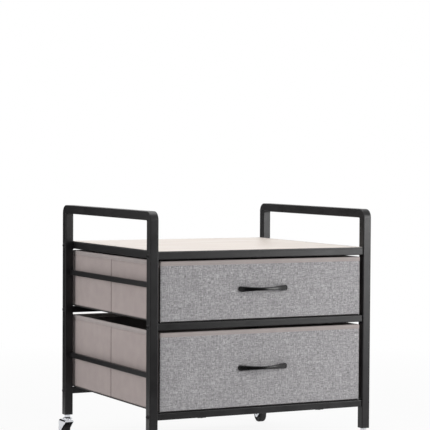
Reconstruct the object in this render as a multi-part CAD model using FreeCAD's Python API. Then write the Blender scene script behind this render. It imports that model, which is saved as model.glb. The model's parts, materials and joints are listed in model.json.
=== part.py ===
import FreeCAD, Part
import math
import os

from FreeCAD import Vector

# Mini fridge stand: a tube frame on four swivel casters, a thin top board and two fabric drawers.
# Millimetres. X runs across the stand, the drawers open towards -Y, Z goes up from the floor.

# Overall sizes
stand_width = 560.0
stand_depth = 500.0
stand_height = 560.0

# Hoops: one bent square tube each side, two legs and the guard rail above the board
leg_size = 20.0
leg_wall = 1.2
leg_edge_round = 1.5
hoop_outer_bend = 20.0
hoop_inner_bend = 3.0

# Cross rails between the hoops, and the side rails of the top frame
rail_size = 15.0
rail_wall = 1.0
rail_edge_round = 1.0
bottom_rail_z = 105.0
mid_rail_z = 301.0
top_rail_z = 455.0

# Side bars between the legs of a hoop
bar_height = 12.0
bar_depth = 8.0
bar_wall = 1.0
bar_edge_round = 0.8
upper_bar_z = 398.0
lower_bar_z = 199.5

# Front-to-back supports under the drawers and the board
support_width = 20.0
support_wall = 1.0
support_spacing = 300.0
support_tab = 1.2
support_tab_weld = 22.0
support_tab_setback = 3.0

# Top board
board_thickness = 3.0
board_side_gap = 0.5
board_edge_round = 0.6

# Frame bolts and the threaded plugs in the rail ends
bolt_dia = 6.0
bolt_hole_gap = 0.25
bolt_head_dia = 10.5
bolt_head_top_dia = 6.5
bolt_head_height = 3.0
bolt_socket = 4.0
bolt_socket_depth = 1.8
bolt_grip = 16.0
plug_length = 18.0
plug_gap = 0.1
thread_gap = 0.05

# Screws of the supports and of the board
support_screw_dia = 4.0
support_screw_length = 7.0
support_screw_head_dia = 7.5
support_screw_head_height = 2.4
screw_hole_gap = 0.25
board_screw_dia = 3.5
board_screw_head_dia = 7.0
board_screw_head_height = 2.0
board_screw_length = 10.0
board_screw_pitch = 190.0

# Casters
wheel_dia = 38.0
wheel_width = 17.0
wheel_shoulder = 3.0
tyre_thickness = 5.5
tyre_seat_gap = 0.05
hub_boss_dia = 10.0
hub_rim_thickness = 2.0
hub_rim_width = 14.0
hub_web = 4.0
hub_side_gap = 0.5
axle_dia = 5.0
axle_running_gap = 0.06
axle_head_dia = 8.0
axle_head_height = 1.5
axle_head_bevel = 0.8
fork_width = 23.0
fork_plate = 1.5
fork_shoulder = 5.0
fork_end_radius = 7.0
fork_front = 11.5
fork_front_height = 5.5
fork_lip_height = 5.0
fork_roof_rear = 15.0
fork_hood_rear = 28.5
fork_hood_height = 9.0
fork_bearing_dia = 18.0
fork_bearing_height = 1.9
wheel_top_gap = 2.3
caster_trail = 18.5
swivel_gap = 0.3
swivel_running_gap = 0.08
kingpin_dia = 8.0
kingpin_head_dia = 12.0
kingpin_head_height = 1.8
cap_dia = 24.0
cap_height = 4.5
cap_edge = 1.2
collar_dia = 14.0
collar_height = 6.0
stem_dia = 11.0
stem_length = 26.0
stem_chamfer = 1.2

# Sockets in the leg ends
socket_flange = 1.5
socket_length = 30.0
socket_gap = 0.1
stem_gap = 0.05

# Drawers
drawer_side_gap = 6.5
drawer_front_setback = 2.5
drawer_rear_reach = 2.5
drawer_lift = 0.3
upper_headroom = 4.0
screw_headroom = 2.1
rim_height = 9.5
linen_thickness = 1.2
fabric_skin = 0.65
stiffener_thickness = 2.5
pocket_gap = 0.1
pocket_end = 5.0
pocket_floor = 3.0
fold_y = 18.0
fold_width = 2.0
fold_depth = 1.0
bin_floor = 1.0
bin_corner_round = 3.0
bin_rear_round = 2.5
base_board_thickness = 3.0
base_board_gap = 1.0

# Bow handles
handle_length = 123.5
handle_pad_height = 12.5
handle_grip_height = 7.0
handle_reach = 22.5
handle_grip_thickness = 5.0
handle_pad_length = 16.0
handle_tip_thickness = 3.6
handle_edge_round = 2.2
handle_rise = 1.8
handle_screw_dia = 4.0
handle_screw_depth = 4.0
handle_screw_end_gap = 0.2
handle_screw_head_dia = 8.0
handle_screw_head_height = 2.2

# Places worked out from the sizes above
leg_outer_x = stand_width / 2
leg_inner_x = leg_outer_x - leg_size
leg_centre_x = leg_outer_x - leg_size / 2
leg_centre_y = stand_depth / 2 - leg_size / 2
leg_inner_y = stand_depth / 2 - leg_size
rail_outer_y = leg_centre_y + rail_size / 2
rail_inner_y = leg_centre_y - rail_size / 2
top_rail_top = top_rail_z + rail_size
board_top = top_rail_top + board_thickness

axle_z = wheel_dia / 2
roof_bottom_z = wheel_dia + wheel_top_gap
roof_top_z = roof_bottom_z + fork_plate
cap_bottom_z = roof_top_z + fork_bearing_height + swivel_gap
cap_top_z = cap_bottom_z + cap_height
leg_end_z = cap_top_z + collar_height
leg_tube_end_z = leg_end_z + socket_flange

drawer_half_width = leg_inner_x - drawer_side_gap
drawer_front_y = -(rail_outer_y - drawer_front_setback)
drawer_rear_y = rail_outer_y + drawer_rear_reach
bin_wall = 2 * fabric_skin + stiffener_thickness + 2 * pocket_gap
support_hang = support_tab + support_screw_head_height
upper_drawer_z = (mid_rail_z + rail_size + drawer_lift, top_rail_z - upper_headroom)
lower_drawer_z = (bottom_rail_z + rail_size + drawer_lift, mid_rail_z - support_hang - screw_headroom)

# The origin is on the floor below the middle of the whole outline, handles and wheels included.
front_reach_y = drawer_front_y - handle_reach
rear_reach_y = leg_centre_y + caster_trail + wheel_dia / 2
outline_centre_y = (front_reach_y + rear_reach_y) / 2

X_AXIS = Vector(1, 0, 0)
Y_AXIS = Vector(0, 1, 0)
Z_AXIS = Vector(0, 0, 1)

# How far a cut runs past the face it opens
past = 1.0

# The middle of a round corner lies this share of its radius inside the square corner.
corner_share = 1 - math.sqrt(0.5)


def block(x, y, z):
    """A box from its low and high limits on each axis."""
    return Part.makeBox(x[1] - x[0], y[1] - y[0], z[1] - z[0], Vector(x[0], y[0], z[0]))


def rod(radius, start, end):
    """A round bar from one point to another."""
    span = end - start
    return Part.makeCylinder(radius, span.Length, start, span)


def around(centre, half):
    """Low and high limits at the same distance from a centre."""
    return (centre - half, centre + half)


def mirrored_x(x, side):
    """X limits on the right-hand side, or their mirror image on the left."""
    return x if side > 0 else (-x[1], -x[0])


def runs_along(edge, axis):
    return abs(edge.tangentAt(edge.FirstParameter).dot(axis)) > 0.999


def round_along(shape, axis, radius):
    """Rounds the edges that run along an axis."""
    return shape.makeFillet(radius, [edge for edge in shape.Edges if runs_along(edge, axis)])


def tube(x, y, z, axis, wall, edge_round):
    """A rectangular tube, open at both ends, with rounded long edges."""
    outer = round_along(block(x, y, z), axis, edge_round)
    limits = []
    for low_high, along in ((x, axis.x), (y, axis.y), (z, axis.z)):
        inset = -past if along else wall
        limits.append((low_high[0] + inset, low_high[1] - inset))
    return outer.cut(block(*limits))


def save(name, shape):
    moved = shape.copy()
    moved.translate(Vector(0, -outline_centre_y, 0))
    moved.exportStep(os.path.join("parts", name + ".step"))


# Hoops


def hoop_face(inset, bottom_z):
    """Side view of a hoop, with every wall line moved into the metal by an inset."""
    outer_y = stand_depth / 2 - inset
    outer_z = stand_height - inset
    outer_r = hoop_outer_bend - inset
    inner_y = leg_inner_y + inset
    inner_z = stand_height - leg_size + inset
    inner_r = hoop_inner_bend + inset
    outline = bent_line(outer_y, outer_z, outer_r, bottom_z)
    opening = bent_line(inner_y, inner_z, inner_r, bottom_z)
    feet = []
    for side in (-1, 1):
        feet.append(Part.makeLine(Vector(0, side * outer_y, bottom_z), Vector(0, side * inner_y, bottom_z)))
    return Part.Face(Part.Wire(Part.__sortEdges__(outline + opening + feet)))


def bent_line(half_y, top_z, radius, bottom_z):
    """Up, across and down again, with the two corners bent to a radius."""
    bend = radius * corner_share
    edges = []
    for side in (-1, 1):
        low = Vector(0, side * half_y, bottom_z)
        start = Vector(0, side * half_y, top_z - radius)
        middle = Vector(0, side * (half_y - bend), top_z - bend)
        end = Vector(0, side * (half_y - radius), top_z)
        edges.append(Part.makeLine(low, start))
        edges.append(Part.Arc(start, middle, end).toShape())
    left = Vector(0, -(half_y - radius), top_z)
    right = Vector(0, half_y - radius, top_z)
    edges.append(Part.makeLine(left, right))
    return edges


def hoop(side):
    x_low, x_high = mirrored_x((leg_inner_x, leg_outer_x), side)
    solid = hoop_face(0, leg_tube_end_z).extrude(Vector(leg_size, 0, 0))
    solid.translate(Vector(x_low, 0, 0))
    long_edges = []
    for edge in solid.Edges:
        if not runs_along(edge, X_AXIS) and edge.BoundBox.ZMax > leg_tube_end_z + past:
            long_edges.append(edge)
    solid = solid.makeFillet(leg_edge_round, long_edges)
    bore = hoop_face(leg_wall, leg_tube_end_z - past).extrude(Vector(leg_size - 2 * leg_wall, 0, 0))
    bore.translate(Vector(x_low + leg_wall, 0, 0))
    holes = []
    for y, z in bolt_places():
        start = Vector(x_low - past, y, z)
        holes.append(rod(bolt_dia / 2 + bolt_hole_gap, start, Vector(x_high + past, y, z)))
    return solid.cut([bore] + holes)


def bolt_places():
    """Y and Z of the frame bolts on one hoop: each leg at each rail."""
    places = []
    for y in (-leg_centre_y, leg_centre_y):
        for rail_z in (bottom_rail_z, mid_rail_z, top_rail_z):
            places.append((y, rail_z + rail_size / 2))
    return places


# Rails, bars and supports


def cross_rail(y_side, rail_z, with_screws):
    """A rail between the hoops. Its underside is drilled for the screws of the supports."""
    y_centre = y_side * leg_centre_y
    rail = tube(
        (-leg_inner_x, leg_inner_x),
        around(y_centre, rail_size / 2),
        (rail_z, rail_z + rail_size),
        X_AXIS, rail_wall, rail_edge_round,
    )
    if not with_screws:
        return rail
    holes = []
    for x in support_places():
        low = Vector(x, y_centre, rail_z - past)
        high = Vector(x, y_centre, rail_z + rail_wall + past)
        holes.append(rod(support_screw_dia / 2 + thread_gap, low, high))
    return rail.cut(holes)


def side_rail(side):
    """A side of the top frame, flush with the hoop, drilled on top for the board screws."""
    rail = tube(
        mirrored_x((leg_inner_x - rail_size, leg_inner_x), side),
        (-rail_inner_y, rail_inner_y),
        (top_rail_z, top_rail_top),
        Y_AXIS, rail_wall, rail_edge_round,
    )
    holes = []
    for x, y in board_screw_places(side):
        low = Vector(x, y, top_rail_top - rail_wall - past)
        holes.append(rod(board_screw_dia / 2 + thread_gap, low, Vector(x, y, top_rail_top + past)))
    return rail.cut(holes)


def side_bar(side, centre_z):
    return tube(
        mirrored_x((leg_inner_x, leg_inner_x + bar_depth), side),
        (-leg_inner_y, leg_inner_y),
        around(centre_z, bar_height / 2),
        Y_AXIS, bar_wall, bar_edge_round,
    )


def support_places():
    return (-support_spacing / 2, support_spacing / 2)


def support_tube(x, rail_z):
    """A tube between the front and rear rails, level with them."""
    return tube(
        around(x, support_width / 2),
        (-rail_inner_y, rail_inner_y),
        (rail_z, rail_z + rail_size),
        Y_AXIS, support_wall, rail_edge_round,
    )


def drawer_support(x, rail_z):
    """A support tube with a welded tab at each end, which is screwed up against the rail."""
    solid = support_tube(x, rail_z)
    holes = []
    for y_side in (-1, 1):
        weld_y = y_side * (rail_inner_y - support_tab_weld)
        tip_y = y_side * (rail_outer_y - support_tab_setback)
        tab_y = (min(weld_y, tip_y), max(weld_y, tip_y))
        solid = solid.fuse(block(around(x, support_width / 2), tab_y, (rail_z - support_tab, rail_z)))
        low = Vector(x, y_side * leg_centre_y, rail_z - support_tab - past)
        high = Vector(x, y_side * leg_centre_y, rail_z)
        holes.append(rod(support_screw_dia / 2 + screw_hole_gap, low, high))
    return solid.cut(holes)


# Board


def board_screw_places(side):
    x = side * (leg_inner_x - rail_size / 2)
    return [(x, step * board_screw_pitch) for step in (-1, 0, 1)]


def countersink(x, y, gap):
    """The cone and shank of a board screw, or with a gap the hole that takes it."""
    head_low = Vector(x, y, board_top - board_screw_head_height)
    shank_r = board_screw_dia / 2 + gap
    head_r = board_screw_head_dia / 2 + gap
    cone = Part.makeCone(shank_r, head_r, board_screw_head_height, head_low)
    shank_low = Vector(x, y, board_top - board_screw_length)
    return cone.fuse(rod(shank_r, shank_low, head_low))


def top_board():
    half_x = leg_inner_x - board_side_gap
    board = block((-half_x, half_x), (-rail_outer_y, rail_outer_y), (top_rail_top, board_top))
    top_edges = [edge for edge in board.Edges if edge.BoundBox.ZMin > board_top - past / 2]
    board = board.makeFillet(board_edge_round, top_edges)
    holes = []
    for side in (-1, 1):
        for x, y in board_screw_places(side):
            holes.append(countersink(x, y, thread_gap))
    return board.cut(holes)


# Fasteners


def frame_bolt(side, y, z):
    """A button-head bolt through a leg into the plug of a rail end, with a hexagon socket."""
    head_end = side * (leg_outer_x + bolt_head_height)
    face_x = side * leg_outer_x
    inward = Vector(-side, 0, 0)
    top = Vector(head_end, y, z)
    cone = Part.makeCone(bolt_head_top_dia / 2, bolt_head_dia / 2, bolt_head_height, top, inward)
    shank = rod(bolt_dia / 2, Vector(face_x, y, z), Vector(side * (leg_inner_x - bolt_grip), y, z))
    corner_r = bolt_socket / math.sqrt(3)
    corners = []
    for step in range(7):
        turn = math.radians(60 * step)
        corners.append(Vector(head_end, y + corner_r * math.cos(turn), z + corner_r * math.sin(turn)))
    recess = Part.Face(Part.makePolygon(corners)).extrude(inward * bolt_socket_depth)
    return cone.cut(recess).fuse(shank)


def rail_plug(side, y, z):
    """A steel plug in a rail end with the bolt's thread."""
    half = rail_size / 2 - rail_wall - plug_gap
    x = mirrored_x((leg_inner_x - plug_length, leg_inner_x), side)
    start = Vector(x[0] - past, y, z)
    bore = rod(bolt_dia / 2 + thread_gap, start, Vector(x[1] + past, y, z))
    return block(x, around(y, half), around(z, half)).cut(bore)


def support_screw(x, y, rail_z):
    """A pan-head screw that goes up through a tab into the underside of a rail."""
    seat = Vector(x, y, rail_z - support_tab)
    head = rod(support_screw_head_dia / 2, seat - Z_AXIS * support_screw_head_height, seat)
    return head.fuse(rod(support_screw_dia / 2, seat, seat + Z_AXIS * support_screw_length))


# Casters


def caster_socket(centre):
    """A plug in the leg end with a flange that covers the tube's edge."""
    half = leg_size / 2 - leg_wall - socket_gap
    flange = block(
        around(centre.x, leg_size / 2), around(centre.y, leg_size / 2), (leg_end_z, leg_tube_end_z)
    )
    flange = round_along(flange, Z_AXIS, leg_edge_round)
    socket_top = leg_end_z + socket_length
    body = block(around(centre.x, half), around(centre.y, half), (leg_tube_end_z, socket_top))
    bore_top = Vector(centre.x, centre.y, socket_top + past)
    bore = rod(stem_dia / 2 + stem_gap, Vector(centre.x, centre.y, leg_end_z - past), bore_top)
    return flange.fuse(body).cut(bore)


def caster_stem(centre):
    """Stem, collar, domed cap and kingpin in one, turned about the swivel axis."""
    stem_r = stem_dia / 2
    collar_r = collar_dia / 2
    cap_r = cap_dia / 2
    pin_r = kingpin_dia / 2
    head_r = kingpin_head_dia / 2
    head_top = roof_bottom_z - swivel_gap
    stem_top = leg_end_z + stem_length
    dome_edge_z = cap_bottom_z + cap_edge
    dome_rise = cap_top_z - dome_edge_z
    dome_centre_z = (collar_r**2 - cap_r**2 + cap_top_z**2 - dome_edge_z**2) / (2 * dome_rise)
    dome_r = math.hypot(cap_r, dome_edge_z - dome_centre_z)
    middle_r = (collar_r + cap_r) / 2
    middle_z = dome_centre_z + math.sqrt(dome_r**2 - middle_r**2)

    def at(radius, height):
        return Vector(centre.x + radius, centre.y, height)

    side = [
        at(cap_r, dome_edge_z), at(cap_r, cap_bottom_z), at(pin_r, cap_bottom_z),
        at(pin_r, head_top), at(head_r, head_top), at(head_r, head_top - kingpin_head_height),
        at(0, head_top - kingpin_head_height), at(0, stem_top), at(stem_r - stem_chamfer, stem_top),
        at(stem_r, stem_top - stem_chamfer), at(stem_r, leg_end_z), at(collar_r, leg_end_z),
        at(collar_r, cap_top_z),
    ]
    dome = Part.Arc(side[-1], at(middle_r, middle_z), side[0]).toShape()
    outline = Part.Wire(Part.makePolygon(side).Edges + [dome])
    return Part.Face(outline).revolve(Vector(centre.x, centre.y, 0), Z_AXIS, 360)


def tangent_point(corner, centre, radius, turn):
    """Where a line from a corner touches a circle, on the side given by the turn."""
    towards = corner - centre
    swing = turn * math.degrees(math.acos(radius / towards.Length))
    direction = FreeCAD.Rotation(X_AXIS, swing).multVec(towards.normalize())
    return centre + direction * radius


def fork_side_view(x, centre):
    """Outline of the fork from the side: the roof, the hood behind it and a round end about the axle."""
    def at(y, drop):
        return Vector(x, centre.y + y, roof_top_z - drop)

    axle = Vector(x, centre.y + caster_trail, axle_z)
    front_low = at(-fork_front, fork_front_height)
    rear_top = at(fork_roof_rear, 0)
    hood_end = at(fork_hood_rear, fork_hood_height)
    bend = corner_share * (fork_hood_rear - fork_roof_rear)
    hood_middle = at(fork_hood_rear - bend, corner_share * fork_hood_height)
    front_touch = tangent_point(front_low, axle, fork_end_radius, 1)
    rear_touch = tangent_point(hood_end, axle, fork_end_radius, -1)
    edges = Part.makePolygon([front_touch, front_low, at(-fork_front, 0), rear_top]).Edges
    edges.append(Part.Arc(rear_top, hood_middle, hood_end).toShape())
    edges.append(Part.makeLine(hood_end, rear_touch))
    end = Vector(x, axle.y, axle.z - fork_end_radius)
    edges.append(Part.Arc(rear_touch, end, front_touch).toShape())
    return Part.Face(Part.Wire(edges))


def fork_section(centre, inset, y):
    """A bar along the fork with its roof's round shoulders, inset from its outer faces."""
    half = fork_width / 2 - inset
    z = (axle_z - fork_end_radius - past, roof_top_z - inset)
    bar = block(around(centre.x, half), y, z)
    shoulders = []
    for edge in bar.Edges:
        if runs_along(edge, Y_AXIS) and edge.BoundBox.ZMin > roof_bottom_z - past:
            shoulders.append(edge)
    return bar.makeFillet(fork_shoulder - inset, shoulders)


def caster_fork(centre):
    """Pressed fork: a roof with round shoulders, two side plates, a front lip and a raised seat."""
    def on_axis(z):
        return Vector(centre.x, centre.y, z)

    bearing_top_z = roof_top_z + fork_bearing_height
    reach = (centre.y - fork_front - past, centre.y + fork_hood_rear + past)
    inside = fork_section(centre, fork_plate, (reach[0] - past, reach[1] + past))
    side_view = fork_side_view(centre.x - fork_width / 2 - past, centre)
    outline = side_view.extrude(Vector(fork_width + 2 * past, 0, 0))
    fork = fork_section(centre, 0, reach).cut(inside).common(outline)
    lip_y = (centre.y - fork_front, centre.y - fork_front + fork_plate)
    lip_z = (roof_top_z - fork_lip_height, roof_top_z)
    lip = block(around(centre.x, fork_width / 2), lip_y, lip_z)
    fork = fork.fuse(fork_section(centre, 0, lip_y).common(lip))
    fork = fork.fuse(rod(fork_bearing_dia / 2, on_axis(roof_bottom_z), on_axis(bearing_top_z)))
    kingpin_r = kingpin_dia / 2 + swivel_running_gap
    bore = rod(kingpin_r, on_axis(roof_bottom_z - past), on_axis(bearing_top_z + past))
    axle_y = centre.y + caster_trail
    half = fork_width / 2 + past
    axle_bore = rod(
        axle_dia / 2 + thread_gap,
        Vector(centre.x - half, axle_y, axle_z), Vector(centre.x + half, axle_y, axle_z),
    )
    return fork.cut([bore, axle_bore]).removeSplitter()


def wheel_turned(points, centre):
    """A solid turned about the axle, from (half width, radius) corners given for one side."""
    axle_y = centre.y + caster_trail
    corners = [Vector(centre.x + half, axle_y, axle_z + radius) for half, radius in points]
    corners += [Vector(centre.x - half, axle_y, axle_z + radius) for half, radius in reversed(points)]
    face = Part.Face(Part.makePolygon(corners + corners[:1]))
    return face.revolve(Vector(centre.x, axle_y, axle_z), X_AXIS, 360)


def caster_axle(centre):
    head_r = axle_head_dia / 2
    pin_half = fork_width / 2
    end = pin_half + axle_head_height
    end_r = head_r - axle_head_bevel
    return wheel_turned([(pin_half, axle_dia / 2), (pin_half, head_r), (end, end_r), (end, 0)], centre)


def hub_half_width():
    return fork_width / 2 - fork_plate - hub_side_gap


def tyre_inner_r():
    return wheel_dia / 2 - tyre_thickness


def caster_hub(centre):
    """Wheel centre: bored boss, web that rises to the rim, and the rim that carries the tyre."""
    boss_r = hub_boss_dia / 2
    rim_r = tyre_inner_r() - tyre_seat_gap
    rim_half = hub_rim_width / 2
    return wheel_turned(
        [
            (hub_half_width(), axle_dia / 2 + axle_running_gap), (hub_half_width(), boss_r),
            (hub_web / 2, boss_r), (rim_half, rim_r - hub_rim_thickness), (rim_half, rim_r),
        ],
        centre,
    )


def caster_tyre(centre):
    half = wheel_width / 2
    outer_r = wheel_dia / 2
    bend = wheel_shoulder * corner_share
    return wheel_turned(
        [
            (half, tyre_inner_r()), (half, outer_r - wheel_shoulder),
            (half - bend, outer_r - bend), (half - wheel_shoulder, outer_r),
        ],
        centre,
    )


# Drawers


def bin_y():
    """Y limits of the fabric box, behind the linen cover of its front."""
    return (drawer_front_y + linen_thickness, drawer_rear_y)


def pocket_boxes(z, gap):
    """The boards in the walls (gap 0), or the pockets that hold them: front, rear, two each side."""
    front_y, rear_y = bin_y()
    inner = fabric_skin + pocket_gap
    depth = (inner - gap, inner + stiffener_thickness + gap)
    height = (z[0] + pocket_floor - gap, z[1] - rim_height - pocket_gap + gap)
    half_x = drawer_half_width - bin_wall - pocket_end + gap
    boxes = []
    boxes.append(block((-half_x, half_x), (front_y + depth[0], front_y + depth[1]), height))
    boxes.append(block((-half_x, half_x), (rear_y - depth[1], rear_y - depth[0]), height))
    for side in (-1, 1):
        x = mirrored_x((drawer_half_width - depth[1], drawer_half_width - depth[0]), side)
        for y in ((front_y + pocket_end, fold_y - pocket_end), (fold_y + pocket_end, rear_y - pocket_end)):
            boxes.append(block(x, (y[0] - gap, y[1] + gap), height))
    return boxes


def handle_screw_x():
    return (handle_length - handle_pad_length) / 2


def handle_height(z):
    return (z[0] + z[1]) / 2 + handle_rise


def screw_holes(z, y_from, y_to, radius):
    holes = []
    for side in (-1, 1):
        x = side * handle_screw_x()
        holes.append(rod(radius, Vector(x, y_from, handle_height(z)), Vector(x, y_to, handle_height(z))))
    return holes


def front_screw_holes(z):
    clear_r = handle_screw_dia / 2 + screw_hole_gap
    return screw_holes(z, drawer_front_y - past, bin_y()[0] + bin_wall + past, clear_r)


def fabric_bin(z):
    """Open fabric box with pockets in its walls, and a fold line half way along each side."""
    y = bin_y()
    wall_top = z[1] - rim_height
    outer = block(around(0, drawer_half_width), y, (z[0], wall_top))
    corner_edges = []
    for edge in outer.Edges:
        if edge.BoundBox.ZLength > past and edge.BoundBox.YMin > 0:
            corner_edges.append(edge)
    outer = outer.makeFillet(bin_corner_round, corner_edges)
    low_rear = []
    for edge in outer.Edges:
        box = edge.BoundBox
        if box.ZMax < z[0] + past and box.YMin > y[1] - bin_corner_round - past:
            low_rear.append(edge)
    outer = outer.makeFillet(bin_rear_round, low_rear)
    half_x = drawer_half_width - bin_wall
    inside_y = (y[0] + bin_wall, y[1] - bin_wall)
    inside = block((-half_x, half_x), inside_y, (z[0] + bin_floor, wall_top + past))
    cuts = [inside] + front_screw_holes(z)
    for pocket in pocket_boxes(z, pocket_gap):
        box = pocket.BoundBox
        cuts.append(block((box.XMin, box.XMax), (box.YMin, box.YMax), (box.ZMin, wall_top + past)))
    for side in (-1, 1):
        cuts.append(fold_groove(side, z, wall_top))
    return outer.cut(cuts)


def fold_groove(side, z, top_z):
    """A vee along the fold between the two boards of a side."""
    face_x = side * drawer_half_width
    half = fold_width / 2
    corners = [
        Vector(face_x, fold_y - half, z[0] - past), Vector(face_x, fold_y + half, z[0] - past),
        Vector(face_x - side * fold_depth, fold_y, z[0] - past), Vector(face_x, fold_y - half, z[0] - past),
    ]
    return Part.Face(Part.makePolygon(corners)).extrude(Vector(0, 0, top_z - z[0] + 2 * past))


def rim_band(z):
    """Binding along the top of the four walls, which closes the pockets."""
    low = z[1] - rim_height
    outer = block(around(0, drawer_half_width), (drawer_front_y, drawer_rear_y), (low, z[1]))
    rear_corners = []
    for edge in outer.Edges:
        if edge.BoundBox.ZLength > past and edge.BoundBox.YMin > 0:
            rear_corners.append(edge)
    outer = outer.makeFillet(bin_corner_round, rear_corners)
    half_x = drawer_half_width - bin_wall
    inside_y = (bin_y()[0] + bin_wall, drawer_rear_y - bin_wall)
    return outer.cut(block((-half_x, half_x), inside_y, (low - past, z[1] + past)))


def front_panel(z):
    """Linen cover of the front, below the binding."""
    y = (drawer_front_y, bin_y()[0])
    panel = block(around(0, drawer_half_width), y, (z[0], z[1] - rim_height))
    return panel.cut(front_screw_holes(z))


def stiffeners(z):
    holes = front_screw_holes(z)
    return Part.makeCompound([board.cut(holes) for board in pocket_boxes(z, 0)])


def base_board(z):
    half_x = drawer_half_width - bin_wall - base_board_gap
    y = bin_y()
    inside_y = (y[0] + bin_wall + base_board_gap, y[1] - bin_wall - base_board_gap)
    floor = z[0] + bin_floor
    return block((-half_x, half_x), inside_y, (floor, floor + base_board_thickness))


def arc_edge(end_x, end_y, middle_y, z):
    return Part.Arc(Vector(-end_x, end_y, z), Vector(0, middle_y, z), Vector(end_x, end_y, z)).toShape()


def bow_handle(z):
    """A bow with round pads: its plan view and its front view are cut from each other."""
    centre_z = handle_height(z)
    face_y = drawer_front_y
    half = handle_length / 2
    pad_r = handle_pad_height / 2
    grip_r = handle_grip_height / 2
    inner_x = half - handle_pad_length
    crown_y = face_y - handle_reach
    grip_y = crown_y + handle_grip_thickness
    tip_y = face_y - handle_tip_thickness
    low_z = centre_z - handle_pad_height

    def plan(x, y):
        return Vector(x, y, low_z)

    plan_edges = [arc_edge(half, tip_y, crown_y, low_z), arc_edge(inner_x, face_y, grip_y, low_z)]
    for side in (-1, 1):
        plan_edges.append(Part.makeLine(plan(side * half, tip_y), plan(side * half, face_y)))
        plan_edges.append(Part.makeLine(plan(side * half, face_y), plan(side * inner_x, face_y)))
    plan_wire = Part.Wire(Part.__sortEdges__(plan_edges))
    bow = Part.Face(plan_wire).extrude(Vector(0, 0, 2 * handle_pad_height))

    def front(x, up):
        return Vector(x, crown_y - past, centre_z + up)

    pad_x = half - pad_r
    outline_edges = []
    for side in (-1, 1):
        waist = Part.Arc(front(-pad_x, side * pad_r), front(0, side * grip_r), front(pad_x, side * pad_r))
        end = Part.Arc(front(side * pad_x, -pad_r), front(side * half, 0), front(side * pad_x, pad_r))
        outline_edges += [waist.toShape(), end.toShape()]
    front_wire = Part.Wire(Part.__sortEdges__(outline_edges))
    outline = Part.Face(front_wire).extrude(Vector(0, handle_reach + 2 * past, 0))
    handle = bow.common(outline)
    front_face = min(handle.Faces, key=lambda face: face.CenterOfMass.y)
    handle = handle.makeFillet(handle_edge_round, front_face.Edges)
    screw_r = handle_screw_dia / 2 + thread_gap
    return handle.cut(screw_holes(z, face_y - handle_screw_depth, face_y + past, screw_r))


def handle_screws(z):
    inside_y = bin_y()[0] + bin_wall
    head_y = inside_y + handle_screw_head_height
    tip_y = drawer_front_y - handle_screw_depth + handle_screw_end_gap
    screws = []
    tips = screw_holes(z, tip_y, inside_y, handle_screw_dia / 2)
    heads = screw_holes(z, inside_y, head_y, handle_screw_head_dia / 2)
    for tip, head in zip(tips, heads):
        screws.append(tip.fuse(head))
    return Part.makeCompound(screws)


# The whole stand

os.makedirs("parts", exist_ok=True)

for side, side_name in ((-1, "left"), (1, "right")):
    save(side_name + "_hoop", hoop(side))
    save(side_name + "_upper_bar", side_bar(side, upper_bar_z))
    save(side_name + "_lower_bar", side_bar(side, lower_bar_z))
    save("top_" + side_name + "_rail", side_rail(side))
    support_x = side * support_spacing / 2
    save(side_name + "_board_support", support_tube(support_x, top_rail_z))
    save("mid_" + side_name + "_support", drawer_support(support_x, mid_rail_z))
    save("bottom_" + side_name + "_support", drawer_support(support_x, bottom_rail_z))

for y_side, end_name in ((-1, "front"), (1, "rear")):
    save("bottom_" + end_name + "_rail", cross_rail(y_side, bottom_rail_z, True))
    save("mid_" + end_name + "_rail", cross_rail(y_side, mid_rail_z, True))
    save("top_" + end_name + "_rail", cross_rail(y_side, top_rail_z, False))

save("top_board", top_board())

bolts = []
plugs = []
sinks = []
for side in (-1, 1):
    for y, z in bolt_places():
        bolts.append(frame_bolt(side, y, z))
        plugs.append(rail_plug(side, y, z))
    for x, y in board_screw_places(side):
        sinks.append(countersink(x, y, 0))
screws = []
for x in support_places():
    for y in (-leg_centre_y, leg_centre_y):
        for rail_z in (bottom_rail_z, mid_rail_z):
            screws.append(support_screw(x, y, rail_z))
save("frame_bolts", Part.makeCompound(bolts))
save("rail_plugs", Part.makeCompound(plugs))
save("board_screws", Part.makeCompound(sinks))
save("support_screws", Part.makeCompound(screws))

sockets = []
for y_side, end_name in ((-1, "front"), (1, "rear")):
    for side, side_name in ((-1, "left"), (1, "right")):
        centre = Vector(side * leg_centre_x, y_side * leg_centre_y, 0)
        corner = end_name + "_" + side_name
        sockets.append(caster_socket(centre))
        save(corner + "_stem", caster_stem(centre))
        save(corner + "_fork", caster_fork(centre))
        save(corner + "_axle", caster_axle(centre))
        save(corner + "_hub", caster_hub(centre))
        save(corner + "_tyre", caster_tyre(centre))
save("caster_sockets", Part.makeCompound(sockets))

for name, z in (("upper", upper_drawer_z), ("lower", lower_drawer_z)):
    save(name + "_bin", fabric_bin(z))
    save(name + "_rim_band", rim_band(z))
    save(name + "_front_panel", front_panel(z))
    save(name + "_stiffeners", stiffeners(z))
    save(name + "_base_board", base_board(z))
    save(name + "_handle", bow_handle(z))
    save(name + "_handle_screws", handle_screws(z))
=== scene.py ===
import json
import math

import bpy
from mathutils import Matrix, Vector, noise


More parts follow.
